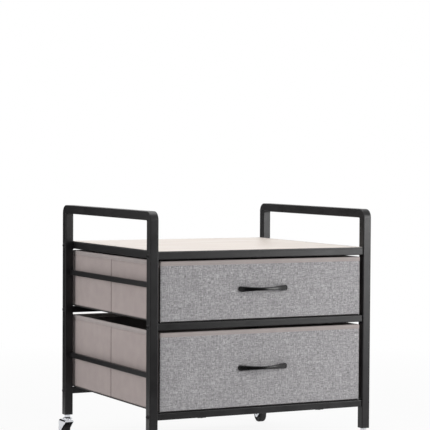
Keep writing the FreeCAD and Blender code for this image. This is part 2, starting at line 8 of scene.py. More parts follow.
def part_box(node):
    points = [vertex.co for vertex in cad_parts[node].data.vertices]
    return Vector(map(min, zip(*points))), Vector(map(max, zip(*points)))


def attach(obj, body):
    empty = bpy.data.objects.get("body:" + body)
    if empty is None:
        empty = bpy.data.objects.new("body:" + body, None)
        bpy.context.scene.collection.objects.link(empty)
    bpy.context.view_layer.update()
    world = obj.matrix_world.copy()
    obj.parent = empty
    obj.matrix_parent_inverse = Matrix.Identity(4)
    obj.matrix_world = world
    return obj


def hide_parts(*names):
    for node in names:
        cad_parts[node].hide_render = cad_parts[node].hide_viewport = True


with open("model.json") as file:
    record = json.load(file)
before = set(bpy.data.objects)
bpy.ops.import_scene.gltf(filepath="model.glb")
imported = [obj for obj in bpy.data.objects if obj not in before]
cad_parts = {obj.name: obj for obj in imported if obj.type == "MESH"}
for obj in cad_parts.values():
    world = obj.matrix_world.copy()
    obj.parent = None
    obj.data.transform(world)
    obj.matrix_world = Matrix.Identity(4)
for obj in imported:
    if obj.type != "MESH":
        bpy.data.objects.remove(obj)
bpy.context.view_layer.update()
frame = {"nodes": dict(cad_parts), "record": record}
nodes = frame["nodes"]
print("frame loaded:", len(nodes), "nodes")

drawers = ("upper", "lower")
sides = ("left", "right")


# Nodes and materials

def addNode(tree, kind, values=None, **options):
    node = tree.nodes.new(kind)
    for name, value in options.items():
        setattr(node, name, value)
    for name, value in (values or {}).items():
        node.inputs[name].default_value = value
    return node


def newMaterial(name, shaderValues):
    material = bpy.data.materials.new(name)
    material.use_nodes = True
    tree = material.node_tree
    shader = tree.nodes["Principled BSDF"]
    for socket, value in shaderValues.items():
        shader.inputs[socket].default_value = value
    place = addNode(tree, "ShaderNodeTexCoord").outputs["Object"]
    return material, tree, shader, place


def stretched(tree, place, scale):  # the pattern's own coordinates, scaled on each axis
    mapping = addNode(tree, "ShaderNodeMapping", {"Scale": scale})
    tree.links.new(place, mapping.inputs["Vector"])
    return mapping.outputs["Vector"]


def noiseOf(tree, place, scale, detail=2.0, rough=0.5):
    node = addNode(tree, "ShaderNodeTexNoise", {"Scale": scale, "Detail": detail, "Roughness": rough})
    tree.links.new(place, node.inputs["Vector"])
    return node.outputs["Fac"]


def spread(tree, value, low, high, toLow, toHigh):  # maps a range of values to another
    node = addNode(tree, "ShaderNodeMapRange",
                   {"From Min": low, "From Max": high, "To Min": toLow, "To Max": toHigh})
    tree.links.new(value, node.inputs["Value"])
    return node.outputs["Result"]


def maths(tree, operation, a, b):
    node = addNode(tree, "ShaderNodeMath", operation=operation)
    for socket, value in zip(node.inputs, (a, b)):
        if isinstance(value, (int, float)):
            socket.default_value = value
        else:
            tree.links.new(value, socket)
    return node.outputs["Value"]


def blendColour(tree, factor, first, second):
    node = addNode(tree, "ShaderNodeMix", data_type="RGBA")
    tree.links.new(factor, node.inputs[0])
    for socket, colour in ((node.inputs[6], first), (node.inputs[7], second)):
        if isinstance(colour, tuple):
            socket.default_value = (*colour, 1)
        else:
            tree.links.new(colour, socket)
    return node.outputs[2]


def bump(tree, shader, height, distance, strength=1.0):
    node = addNode(tree, "ShaderNodeBump", {"Strength": strength, "Distance": distance})
    tree.links.new(height, node.inputs["Height"])
    tree.links.new(node.outputs["Normal"], shader.inputs["Normal"])
    return node


def tone(red, green, blue):  # a colour written as 0 to 255 screen values
    def toLinear(value):
        share = value / 255
        return share / 12.92 if share <= 0.04045 else ((share + 0.055) / 1.055) ** 2.4
    return tuple(toLinear(value) for value in (red, green, blue))


def paint(tree, shader, patches, look):  # colour and roughness that follow the same soft patches
    colour = blendColour(tree, patches, look["dark"], look["light"])
    tree.links.new(colour, shader.inputs["Base Color"])
    rough = spread(tree, patches, 0.3, 0.7, *look["rough"])
    tree.links.new(rough, shader.inputs["Roughness"])


powderCoat = {
    "dark": tone(21, 20, 21), "light": tone(28, 27, 28), "patchScale": 30,
    "grainScale": 1500, "grainDepth": 0.00012, "grainStrength": 0.5,
    "rough": (0.29, 0.37), "edgeRound": 0.0022, "gloss": 0.3,
}


def powderCoatMaterial():  # fine grain over edges that the coat rounds a little
    look = powderCoat
    material, tree, shader, place = newMaterial("powderCoat", {"Specular IOR Level": look["gloss"]})
    paint(tree, shader, noiseOf(tree, place, look["patchScale"], 4), look)
    grain = bump(tree, shader, noiseOf(tree, place, look["grainScale"], 1), look["grainDepth"],
                 look["grainStrength"])
    rounded = addNode(tree, "ShaderNodeBevel", {"Radius": look["edgeRound"]}, samples=8)
    tree.links.new(rounded.outputs["Normal"], grain.inputs["Normal"])
    return material


boardLook = {
    "pale": tone(236, 229, 222), "warm": tone(222, 209, 199), "streak": tone(196, 178, 166),
    "edge": tone(48, 47, 48), "grainScale": (4, 60, 4), "grainBump": 0.0001,
    "waveScale": (2, 14, 2), "waveBend": (0, 0.02, 0), "fineScale": (12, 420, 12),
}


def boardMaterial():  # printed wood grain on top, a dark edge band and underside
    look = boardLook
    gloss = {"Roughness": 0.42, "Specular IOR Level": 0.4}
    material, tree, shader, place = newMaterial("boardPrint", gloss)
    wavy = noiseOf(tree, stretched(tree, place, look["waveScale"]), 1, 3)
    bent = addNode(tree, "ShaderNodeVectorMath", operation="MULTIPLY_ADD")
    tree.links.new(wavy, bent.inputs[0])
    bent.inputs[1].default_value = look["waveBend"]
    tree.links.new(place, bent.inputs[2])
    grain = noiseOf(tree, stretched(tree, bent.outputs["Vector"], look["grainScale"]), 1, 6, 0.6)
    fine = noiseOf(tree, stretched(tree, bent.outputs["Vector"], look["fineScale"]), 1, 2)
    pale = blendColour(tree, spread(tree, grain, 0.35, 0.65, 0, 1), look["pale"], look["warm"])
    streaks = spread(tree, fine, 0.60, 0.78, 0, 0.6)
    printed = blendColour(tree, streaks, pale, look["streak"])
    normal = addNode(tree, "ShaderNodeNewGeometry")
    split = addNode(tree, "ShaderNodeSeparateXYZ")
    tree.links.new(normal.outputs["Normal"], split.inputs[0])
    upward = spread(tree, split.outputs["Z"], 0.80, 0.95, 0, 1)
    colour = blendColour(tree, upward, look["edge"], printed)
    tree.links.new(colour, shader.inputs["Base Color"])
    bump(tree, shader, fine, look["grainBump"], 0.4)
    return material


metalLooks = {
    "blackScrew": {
        "dark": tone(34, 34, 35), "light": tone(62, 61, 62), "rough": (0.35, 0.5), "grain": 900},
    "insertSteel": {
        "dark": tone(138, 136, 130), "light": tone(172, 170, 162), "rough": (0.38, 0.55), "grain": 700},
    "casterChrome": {
        "dark": tone(196, 198, 202), "light": tone(226, 228, 232), "rough": (0.10, 0.20), "grain": 260},
}


def metalMaterial(name):
    look = metalLooks[name]
    material, tree, shader, place = newMaterial(name, {"Metallic": 1.0})
    paint(tree, shader, noiseOf(tree, place, look["grain"], 3), look)
    bump(tree, shader, noiseOf(tree, place, look["grain"] * 4, 1), 0.00004, 0.3)
    return material


plasticLooks = {
    "socketPlastic": {
        "dark": tone(30, 30, 31), "light": tone(38, 38, 39), "rough": (0.42, 0.55), "gloss": 0.5,
        "depth": 0.00008},
    "hubPlastic": {
        "dark": tone(42, 42, 44), "light": tone(54, 54, 56), "rough": (0.35, 0.5), "gloss": 0.5,
        "depth": 0.00008},
    "tyreRubber": {
        "dark": tone(13, 13, 13), "light": tone(21, 20, 20), "rough": (0.6, 0.8), "gloss": 0.4,
        "depth": 0.00015},
    "handlePlastic": {
        "dark": tone(9, 9, 10), "light": tone(15, 14, 15), "rough": (0.18, 0.28), "gloss": 0.36,
        "depth": 0.00004},
}


def plasticMaterial(name):
    look = plasticLooks[name]
    material, tree, shader, place = newMaterial(name, {"Specular IOR Level": look["gloss"]})
    paint(tree, shader, noiseOf(tree, place, 120, 4), look)
    bump(tree, shader, noiseOf(tree, place, 2200, 1), look["depth"], 0.5)
    return material


def fibreboardMaterial():
    gloss = {"Roughness": 0.85, "Specular IOR Level": 0.2}
    material, tree, shader, place = newMaterial("fibreboard", gloss)
    fibres = noiseOf(tree, place, 700, 5, 0.7)
    colour = blendColour(tree, fibres, tone(120, 96, 72), tone(158, 130, 100))
    tree.links.new(colour, shader.inputs["Base Color"])
    bump(tree, shader, fibres, 0.0002, 0.6)
    return material


# painted shade: the dark colour painted into the cloth's folds, along its foot and at its front corners
paintedShadeColour = tone(22, 20, 20)
clothLooks = {
    "taupeCloth": {
        "dark": tone(163, 151, 149), "light": tone(178, 166, 163), "thread": 0.0008, "depth": 0.00018},
    "bindingCloth": {
        "dark": tone(162, 153, 151), "light": tone(178, 169, 167), "thread": 0.0010, "depth": 0.00022},
    "liningCloth": {
        "dark": tone(88, 82, 80), "light": tone(102, 95, 93), "thread": 0.0009, "depth": 0.00018},
}


def weaveHeight(tree, place, thread):  # crossing threads, alike on every wall of a drawer
    split = addNode(tree, "ShaderNodeSeparateXYZ")
    tree.links.new(place, split.inputs[0])
    level = math.pi / thread
    along = maths(tree, "ADD", split.outputs["X"], split.outputs["Y"])
    acrossWave = maths(tree, "SINE", maths(tree, "MULTIPLY", along, level), 0)
    upWave = maths(tree, "SINE", maths(tree, "MULTIPLY", split.outputs["Z"], level), 0)
    return maths(tree, "ABSOLUTE", maths(tree, "MULTIPLY", acrossWave, upWave), 0)


def clothMaterial(name):
    look = clothLooks[name]
    material, tree, shader, place = newMaterial(name, {
        "Roughness": 0.9, "Specular IOR Level": 0.2, "Sheen Weight": 0.15, "Sheen Roughness": 0.5})
    patches = noiseOf(tree, place, 35, 4)
    colour = blendColour(tree, spread(tree, patches, 0.1, 0.9, 0, 1), look["dark"], look["light"])
    weave = weaveHeight(tree, place, look["thread"])
    # painted shade: the cloth is painted a little darker in the hollows between its threads
    shaded = blendColour(tree, spread(tree, weave, 0, 1, 0.12, 0), colour, tone(90, 82, 80))
    # painted shade: the cloth is painted darker where the mark on its points says shade falls, in
    # folds, along the foot and at the front corners
    paintedShade = addNode(tree, "ShaderNodeAttribute", attribute_name="paintedShade")
    withPaintedShade = blendColour(tree, paintedShade.outputs["Fac"], shaded, paintedShadeColour)
    tree.links.new(withPaintedShade, shader.inputs["Base Color"])
    bump(tree, shader, weave, look["depth"], 0.6)
    return material


linenLook = {
    "dark": tone(102, 100, 101), "light": tone(222, 220, 222), "fleck": tone(122, 120, 122),
    "slubAcross": 0.0010, "slubAlong": 0.0100, "slubUp": 0.0070, "fleckSize": 0.0012,
    "threadAcross": 0.0013, "threadAlong": 0.034, "threadShare": 0.55,
    "thread": 0.0007, "depth": 0.00025,
}


def linenMaterial():  # heather grey: light and dark slubs both ways over a plain weave
    look = linenLook
    material, tree, shader, place = newMaterial("greyLinen", {
        "Roughness": 0.92, "Specular IOR Level": 0.2, "Sheen Weight": 0.2, "Sheen Roughness": 0.5})

    def crossed(across, along, up):  # noise drawn out along both sets of threads
        narrow = 1 / across
        weft = noiseOf(tree, stretched(tree, place, (1 / along, 1 / along, narrow)), 1, 1, 0.6)
        warp = noiseOf(tree, stretched(tree, place, (narrow, narrow, 1 / up)), 1, 1, 0.6)
        return maths(tree, "MULTIPLY", maths(tree, "ADD", weft, warp), 0.5)

    slubs = crossed(look["slubAcross"], look["slubAlong"], look["slubUp"])
    threads = crossed(look["threadAcross"], look["threadAlong"], look["threadAlong"])
    lights = blendColour(tree, spread(tree, slubs, 0.33, 0.67, 0, 1), look["dark"], look["light"])
    flecks = spread(tree, noiseOf(tree, place, 1 / look["fleckSize"], 1), 0.52, 0.68, 0, 0.35)
    speckled = blendColour(tree, flecks, lights, look["fleck"])
    darker = spread(tree, threads, 0.40, 0.60, 0, look["threadShare"])
    colour = blendColour(tree, darker, speckled, look["fleck"])
    weave = weaveHeight(tree, place, look["thread"])
    # painted shade: the linen is painted a little darker in the hollows between its threads
    shaded = blendColour(tree, spread(tree, weave, 0, 1, 0.15, 0), colour, tone(80, 80, 84))
    tree.links.new(shaded, shader.inputs["Base Color"])
    bump(tree, shader, maths(tree, "ADD", weave, slubs), look["depth"], 0.6)
    return material


def threadMaterial(name, dark, light):
    material, tree, shader, place = newMaterial(name, {"Roughness": 0.8, "Sheen Weight": 0.2})
    twist = noiseOf(tree, place, 1500, 1)
    tree.links.new(blendColour(tree, twist, dark, light), shader.inputs["Base Color"])
    bump(tree, shader, twist, 0.0001, 0.5)
    return material


materials = {
    "frame_steel": powderCoatMaterial(), "board": boardMaterial(),
    "screws": metalMaterial("blackScrew"),
    "steel_insert": metalMaterial("insertSteel"), "socket_plastic": plasticMaterial("socketPlastic"),
    "caster_chrome": metalMaterial("casterChrome"), "hub_plastic": plasticMaterial("hubPlastic"),
    "tyre": plasticMaterial("tyreRubber"), "fibreboard": fibreboardMaterial(),
    "handle_plastic": plasticMaterial("handlePlastic"), "drawer_fabric": clothMaterial("taupeCloth"),
    "drawer_binding": clothMaterial("bindingCloth"), "front_linen": linenMaterial(),
}
liningCloth = clothMaterial("liningCloth")
taupeThread = threadMaterial("taupeThread", tone(128, 116, 113), tone(150, 138, 134))

for entry in frame["record"]["subparts"]:
    mesh = nodes[entry["node"]].data
    mesh.materials.clear()
    mesh.materials.append(materials[entry["material_slot"]])
print("materials made:", len(bpy.data.materials))


# Meshes

def newPiece(name, points, faces, clothes, faceCloth=None, smooth=True):
    mesh = bpy.data.meshes.new(name)
    mesh.from_pydata([tuple(point) for point in points], [], faces)
    for material in clothes:
        mesh.materials.append(material)
    for face in mesh.polygons:
        face.use_smooth = smooth
        if faceCloth:
            face.material_index = faceCloth[face.index]
    mesh.validate()
    piece = bpy.data.objects.new(name, mesh)
    bpy.context.scene.collection.objects.link(piece)
    return piece


seam = {"width": 0.001, "clear": 2.6, "marks": (-2, -1, -0.6, -0.3, 0, 0.3, 0.6, 1, 2)}


def evenSteps(length, step, lines=()):  # shares of a length, closer together at sewn lines
    width = seam["width"]
    count = max(2, round(length / step))
    marks = [index / count for index in range(1, count)]
    for line in lines:
        marks = [mark for mark in marks if abs(mark * length - line) > seam["clear"] * width]
        marks += [(line + width * part) / length for part in seam["marks"]]
    return sorted(mark for mark in marks if 0 < mark < 1)


def ringPoints(low, high, radius, steps, cornerCount=4):
    # once round a rectangle with round corners, from its front edge, as (place, outward direction)
    middles = [((high.x - radius, low.y + radius), -90), ((high.x - radius, high.y - radius), 0),
               ((low.x + radius, high.y - radius), 90), ((low.x + radius, low.y + radius), 180)]
    ring = []
    for index in range(4):
        (x, y), start = middles[index]
        (lastX, lastY), _ = middles[index - 1]
        turn = math.radians(start)
        outward = Vector((math.cos(turn), math.sin(turn), 0))
        begin = Vector((lastX, lastY, 0)) + outward * radius
        end = Vector((x, y, 0)) + outward * radius
        for mark in steps[index]:
            ring.append((begin.lerp(end, mark), outward))
        for step in range(cornerCount + 1):
            turn = math.radians(start + 90 * step / cornerCount)
            outward = Vector((math.cos(turn), math.sin(turn), 0))
            ring.append((Vector((x, y, 0)) + outward * radius, outward))
    return ring


def skinned(rings, closeFirst=True, closeLast=True):
    # faces between rings of equal count, as a closed skin
    count = len(rings[0])
    points = [point for ring in rings for point in ring]
    faces = []
    for row in range(len(rings) - 1):
        base = row * count
        for index in range(count):
            after = (index + 1) % count
            faces.append((base + index, base + after, base + count + after, base + count + index))
    if closeFirst:
        faces.append(tuple(reversed(range(count))))
    if closeLast:
        last = (len(rings) - 1) * count
        faces.append(tuple(range(last, last + count)))
    return points, faces


cloth = {
    "footRings": ((0.03, 0), (0.007, 0), (0.0058, 0.0004), (0.0046, 0), (0.0009, 0), (0.0002, 0.0004)),
    "footCorner": 0.0018, "footTop": 0.0016, "rearCorner": 0.002, "innerCorner": 0.0012,
    "rows": 0.002, "rim": 0.004, "rimEdge": 0.0006, "rimCorner": 0.0024,
    "wall": 0.004, "step": 0.008, "rowStep": 0.009,
    "foldWidth": 0.0010, "foldDepth": 0.0026, "foldGap": 0.02, "foldReach": 0.1,
    "seamWidth": 0.0012, "seamDepth": 0.00035, "pocketSeam": 0.0045,
    "floor": 0.001, "floorCorner": 0.001, "floorInset": 0.03, "bottomSeam": 0.004,
    "puff": 0.0004, "puffReach": 0.008, "sway": 0.0002, "swayIn": -0.25, "swaySize": 0.09,
    "fadeOver": 0.004, "fadeReach": 0.006, "puckerTurn": 6,
    "pucker": 0.00008, "puckerLength": 0.008, "puckerReach": 0.007,
    "curl": 0.0008, "curlLength": 0.045, "curlWidth": 0.03, "curlHeight": 0.03,
}


# painted shade: how dark and how far the cloth is painted in its folds, along its foot and at its front
# corners
paintedShade = {"fold": 0.85, "foldWidth": 0.0013, "footHeight": 0.0052, "cornerReach": 0.009, "blur": 0.5}


def edgeShade(distance, reach):  # 1 close to an edge, 0 from its reach on
    return min(1, max(0, 1 - distance / reach) / paintedShade["blur"])


def drawerSizes(name):
    low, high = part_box(name + "_bin")
    bandLow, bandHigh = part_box(name + "_rim_band")
    panelLow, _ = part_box(name + "_front_panel")
    return {
        "low": low, "high": high, "wallTop": bandLow.z, "top": bandHigh.z, "frontY": panelLow.y,
        "foldY": foldPlace(name),
    }


def foldPlace(name):  # the fold lies between the two boards of a side
    ys = sorted(set(round(v.co.y, 4) for v in nodes[name + "_stiffeners"].data.vertices))
    gaps = [(after - before, (after + before) / 2) for before, after in zip(ys, ys[1:])]
    gapLimit, reach = cloth["foldGap"], cloth["foldReach"]
    middle = [(gap, place) for gap, place in gaps if gap < gapLimit and abs(place) < reach]
    return max(middle)[1]


def grooveAt(distance, width):
    return math.exp(-((distance / width) ** 2))


def wallOffset(place, outward, z, size):
    # how far the cloth of a wall stands out of its flat place
    look = cloth
    top, bottom = size["wallTop"], size["low"].z
    reach = look["fadeReach"]
    fade = min(1.0, (z - bottom) / reach) * min(1.0, max(0.0, top + look["fadeOver"] - z) / reach)
    sway = noise.noise(Vector((place.x, place.y, z)) / look["swaySize"])
    offset = look["sway"] * max(sway, look["swayIn"]) * fade
    edge = min(z - bottom, top - z)
    offset += look["puff"] * (1 - math.exp(-max(edge, 0) / look["puffReach"]))
    turn = 2 * math.pi * (place.x + place.y) / look["puckerLength"] + look["puckerTurn"] * sway
    offset += look["pucker"] * math.sin(turn) * math.exp(-abs(top - z) / look["puckerReach"])
    offset -= look["seamDepth"] * grooveAt(z - bottom - look["bottomSeam"], look["seamWidth"])
    if abs(outward.x) > 0.9:
        fromFold = place.y - size["foldY"]
        offset -= look["foldDepth"] * grooveAt(fromFold, look["foldWidth"])
        for stitched in (-look["pocketSeam"], look["pocketSeam"]):
            offset -= look["seamDepth"] * grooveAt(fromFold - stitched, look["seamWidth"])
    return offset


def cornerLift(place, z, size):  # the rear bottom corners curl up a little
    look = cloth
    along = 1 - (size["high"].y - place.y) / look["curlLength"]
    across = 1 - (size["high"].x - abs(place.x)) / look["curlWidth"]
    height = 1 - (z - size["low"].z) / look["curlHeight"]
    return look["curl"] * max(0, along) ** 2 * max(0, across) * max(0, height)


def binSteps(size):
    low, high = size["low"], size["high"]
    depth = high.y - low.y
    fold = size["foldY"] - low.y
    pocket = cloth["pocketSeam"]
    across = evenSteps(high.x - low.x, cloth["step"])
    rightSide = evenSteps(depth, cloth["step"], (fold - pocket, fold, fold + pocket))
    leftSide = [1 - mark for mark in reversed(rightSide)]
    return [across, rightSide, across, leftSide]


def ringAt(size, inset, z, steps, radius, sway=False):
    low = size["low"] + Vector((inset, inset, 0))
    high = size["high"] - Vector((inset, inset, 0))
    ring = []
    for place, outward in ringPoints(low, high, radius, steps):
        shift = wallOffset(place, outward, z, size) if sway else 0
        ring.append(Vector((place.x, place.y, z + cornerLift(place, z, size))) + outward * shift)
    return ring


def wallHeights(bottom, top, lines):
    span = top - bottom
    marks = evenSteps(span, cloth["rowStep"], [line - bottom for line in lines])
    return [bottom + span * mark for mark in marks]


def paintShadeInCreases(piece, size):  # painted shade: the cloth is painted darker in its folds, along its foot and at its front seams, where shade falls
    look = paintedShade
    marks = piece.data.attributes.new("paintedShade", "FLOAT", "POINT")
    for vertex, mark in zip(piece.data.vertices, marks.data):
        place = vertex.co
        fold = look["fold"] * grooveAt(place.y - size["foldY"], look["foldWidth"])
        onSide = size["high"].x - abs(place.x) < cloth["wall"] / 2 and place.z < size["wallTop"]
        foot = edgeShade(place.z - size["low"].z, look["footHeight"])
        corner = edgeShade(place.y - size["low"].y, look["cornerReach"])
        mark.value = min(1, (fold + corner if onSide else 0) + foot)


def makeBin(name, size):
    look = cloth
    steps = binSteps(size)
    bottom, top = size["low"].z, size["wallTop"]
    footTop, rowTop, rim = bottom + look["footTop"], top + look["rows"], top + look["rim"]
    wall, floor = look["wall"], bottom + look["floor"]
    rings = []
    for inset, z in look["footRings"]:
        rings.append(ringAt(size, inset, bottom + z, steps, look["footCorner"]))
    for z in [footTop] + wallHeights(footTop, rowTop, (bottom + look["bottomSeam"],)):
        rings.append(ringAt(size, 0, z, steps, look["rearCorner"], True))
    outerRows = len(rings)
    rings.append(ringAt(size, look["rimEdge"], rim, steps, look["rimCorner"]))
    rings.append(ringAt(size, wall - look["rimEdge"], rim, steps, look["innerCorner"]))
    for z in reversed(wallHeights(floor + 0.001, rowTop, ())):
        rings.append(ringAt(size, wall, z, steps, look["innerCorner"]))
    for inset, lift in ((wall + 0.0003, 0.0004), (wall + 0.001, 0), (look["floorInset"], 0)):
        rings.append(ringAt(size, inset, floor + lift, steps, look["floorCorner"]))
    points, faces = skinned(rings)
    count = len(rings[0])
    faceCloth = [0 if index // count < outerRows else 1 for index in range(len(faces))]
    faceCloth[-2:] = [0, 1]
    clothes = [materials["drawer_fabric"], liningCloth]
    piece = newPiece(name + "_cloth_box", points, faces, clothes, faceCloth)
    # painted shade in the folds, along the foot and at the front corners of the cloth box
    paintShadeInCreases(piece, size)
    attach(piece, name + "_drawer")
    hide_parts(name + "_bin")
    return piece


binding = {
    "proud": 0.0004, "topRound": 0.0022, "roundSteps": 5, "stitchDrop": 0.0025, "overlap": 0.0006,
    "ripple": 0.0002, "rippleLength": 0.011, "rippleTurn": 5, "rippleSize": 0.05,
    "groove": 0.00025, "grooveWidth": 0.0007, "settle": 0.00035, "settleSize": 0.06,
}


def bandProfile(height):
    # (share across the wall, height above the band's foot, how proud), from the outer foot over the top
    look = binding
    profile = [(0.12, -look["overlap"], 0), (0.0, -look["overlap"] + 0.0002, 1)]
    lift = look["topRound"]
    levels = (0.0008, 0.0018, look["stitchDrop"], 0.0032, 0.0045, height - lift)
    for level in levels:
        profile.append((0.0, level, 1))
    for step in range(1, look["roundSteps"] * 2):
        turn = math.pi * step / (look["roundSteps"] * 2)
        level = height - lift + lift * math.sin(turn)
        profile.append((0.5 - 0.5 * math.cos(turn), level, abs(math.cos(turn))))
    for level in reversed(levels):
        profile.append((1.0, level, 1))
    profile += [(1.0, -look["overlap"] + 0.0002, 1), (0.88, -look["overlap"], 0)]
    return profile


def bandEdges(size):  # the outer and inner line of the binding, the linen front's thickness included
    steps = binSteps(size)
    outerLow = Vector((size["low"].x, size["frontY"], 0))
    outerHigh = Vector((size["high"].x, size["high"].y, 0))
    wall = Vector((cloth["wall"], cloth["wall"], 0))
    innerLow = Vector((size["low"].x, size["low"].y, 0)) + wall
    outer = ringPoints(outerLow, outerHigh, cloth["rearCorner"], steps)
    inner = ringPoints(innerLow, outerHigh - wall, cloth["innerCorner"], steps)
    return outer, inner


def makeBinding(name, size):
    look = binding
    height = size["top"] - size["wallTop"]
    outer, inner = bandEdges(size)
    rings = []
    for share, level, proud in bandProfile(height):
        ring = []
        for (outerPlace, outward), (innerPlace, _) in zip(outer, inner):
            place = outerPlace.lerp(innerPlace, share)
            wander = look["rippleTurn"] * noise.noise(place / look["rippleSize"])
            ripple = math.sin(2 * math.pi * (place.x + place.y) / look["rippleLength"] + wander)
            groove = look["groove"] * grooveAt(level - look["stitchDrop"], look["grooveWidth"])
            side = 1 if share < 0.5 else -1
            wave = look["ripple"] * ripple * (1 - level / height)
            shift = side * proud * (look["proud"] + wave - groove)
            onTop = 0 < share < 1 and level > height / 2
            settle = look["settle"] * noise.noise(place / look["settleSize"]) if onTop else 0
            z = size["wallTop"] + level + min(settle, 0)
            ring.append(Vector((place.x, place.y, z)) + outward * shift)
        rings.append(ring)
    points, faces = skinned(rings, False, False)
    count = len(rings[0])
    last = (len(rings) - 1) * count
    for index in range(count):
        after = (index + 1) % count
        faces.append((last + index, last + after, after, index))
    piece = newPiece(name + "_binding", points, faces, [materials["drawer_binding"]])
    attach(piece, name + "_drawer")
    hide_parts(name + "_rim_band")
    return piece


panel = {
    "step": 0.006, "edge": 0.0009, "sideGap": 0.0016, "sway": 0.00035, "swaySize": 0.05,
    "swayRow": 0.3, "padDent": 0.0004, "padReach": 0.012, "padInset": 0.008, "fadeReach": 0.01,
    "thickness": 0.0009, "lift": 0.003, "lap": 0.0002,
}


def panelDepth(x, z, padPlaces):  # how far the linen swells, and dents at the handle's feet
    look = panel
    offset = look["sway"] * noise.noise(Vector((x, look["swayRow"], z)) / look["swaySize"])
    for padX, padZ in padPlaces:
        reach = math.hypot(x - padX, z - padZ) / look["padReach"]
        offset -= look["padDent"] * math.exp(-reach * reach)
    return offset


def makeLinenFront(name, size):
    look = panel
    low, high = size["low"], size["high"]
    xLow, xHigh = low.x + look["sideGap"], high.x - look["sideGap"]
    zLow, zHigh = low.z + look["lift"], size["wallTop"] + look["lap"]
    handleLow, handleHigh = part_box(name + "_handle")
    padZ = (handleLow.z + handleHigh.z) / 2
    pads = [(handleLow.x + look["padInset"], padZ), (handleHigh.x - look["padInset"], padZ)]
    edge = look["edge"]

    def marks(start, end):
        count = round((end - start - 2 * edge) / look["step"])
        inner = [start + edge + (end - start - 2 * edge) * index / count for index in range(count + 1)]
        turned = (0, edge * 0.15, edge * 0.5)
        return [start + part for part in turned] + inner + [end - part for part in reversed(turned)]

    xs, zs = marks(xLow, xHigh), marks(zLow, zHigh)
    points = []
    for z in zs:
        for x in xs:
            inward = min(x - xLow, xHigh - x, z - zLow, zHigh - z)
            inset = max(0, edge - inward) / edge
            roll = edge * (1 - math.sqrt(max(0.0, 1 - inset * inset)))
            fade = min(1.0, inward / look["fadeReach"])
            y = size["frontY"] - panelDepth(x, z, pads) * fade + roll
            points.append((x, y, z))
    columns = len(xs)
    faces = []
    for row in range(len(zs) - 1):
        for column in range(columns - 1):
            start = row * columns + column
            faces.append((start, start + 1, start + columns + 1, start + columns))
    piece = newPiece(name + "_linen_front", points, faces, [materials["front_linen"]])
    thick = piece.modifiers.new("thick", "SOLIDIFY")
    thick.thickness = look["thickness"]
    thick.offset = -1
    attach(piece, name + "_drawer")
    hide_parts(name + "_front_panel")
    return piece


baseBoard = {"step": 0.012, "edge": 0.0014, "turn": 0.3, "corner": 0.004, "insets": (0.006, 0.02)}


def makeBaseBoard(name, size):  # the loose board on the drawer's floor, covered in the lining cloth
    look = baseBoard
    low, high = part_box(name + "_base_board")
    across = evenSteps(high.x - low.x, look["step"])
    steps = [across, evenSteps(high.y - low.y, look["step"])] * 2
    edge, turn = look["edge"], look["edge"] * look["turn"]
    near, far = look["insets"]
    flatLow, flatHigh = Vector((low.x, low.y, 0)), Vector((high.x, high.y, 0))
    rings = []
    for inset, z in (
            (far, low.z), (edge, low.z), (turn, low.z + turn), (0, low.z + edge),
            (0, high.z - edge), (turn, high.z - turn), (edge, high.z), (near, high.z), (far, high.z)):
        shrink = Vector((inset, inset, 0))
        ring = ringPoints(flatLow + shrink, flatHigh - shrink, look["corner"], steps, 3)
        rings.append([Vector((place.x, place.y, z + cornerLift(place, z, size))) for place, _ in ring])
    points, faces = skinned(rings)
    piece = newPiece(name + "_base_panel", points, faces, [liningCloth])
    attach(piece, name + "_drawer")
    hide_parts(name + "_base_board")
    return piece


piping = {
    "radius": 0.0009, "sides": 8, "inset": 0.0011, "back": 0.0009, "foot": 0.0008, "over": 0.001,
    "wobble": 0.00012, "wobbleScale": 90,
}


def makePiping(name, size):  # a thin piped seam up each front corner, between linen and side cloth
    look = piping
    points, faces = [], []
    for side in (-1, 1):
        x = (size["low"].x + look["inset"]) if side < 0 else (size["high"].x - look["inset"])
        y = size["frontY"] + look["back"]
        foot, top = size["low"].z + look["foot"], size["wallTop"] + look["over"]
        rings = []
        for z in [foot] + wallHeights(foot, top, ()) + [top]:
            wobble = look["wobble"] * noise.noise(Vector((x, z * look["wobbleScale"], 0)))
            ring = []
            for step in range(look["sides"]):
                turn = 2 * math.pi * step / look["sides"]
                across = x + wobble + look["radius"] * math.cos(turn)
                ring.append(Vector((across, y + look["radius"] * math.sin(turn), z)))
            rings.append(ring)
        morePoints, moreFaces = skinned(rings)
        base = len(points)
        points += morePoints
        faces += [tuple(base + index for index in face) for face in moreFaces]
    piece = newPiece(name + "_corner_piping", points, faces, [materials["front_linen"]])
    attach(piece, name + "_drawer")
    return piece


drawerSize = {}
for name in drawers:
    size = drawerSizes(name)
    drawerSize[name] = size
    makeBin(name, size)
    makeBinding(name, size)
    makeLinenFront(name, size)
    makeBaseBoard(name, size)
    makePiping(name, size)
print("drawers dressed")


# Sewing, screw heads and welds, repeated along lines with Geometry Nodes

def treeWith(name, inputs):
    # an empty node tree with its named inputs; returns what the nodes are linked to
    tree = bpy.data.node_groups.new(name, "GeometryNodeTree")
    tree.interface.new_socket("Geometry", in_out="INPUT", socket_type="NodeSocketGeometry")
    for label, kind in inputs.items():
        tree.interface.new_socket(label, in_out="INPUT", socket_type="NodeSocket" + kind)
    tree.interface.new_socket("Geometry", in_out="OUTPUT", socket_type="NodeSocketGeometry")
    given = addNode(tree, "NodeGroupInput")
    result = addNode(tree, "NodeGroupOutput")
    return tree, given.outputs, result.inputs["Geometry"]


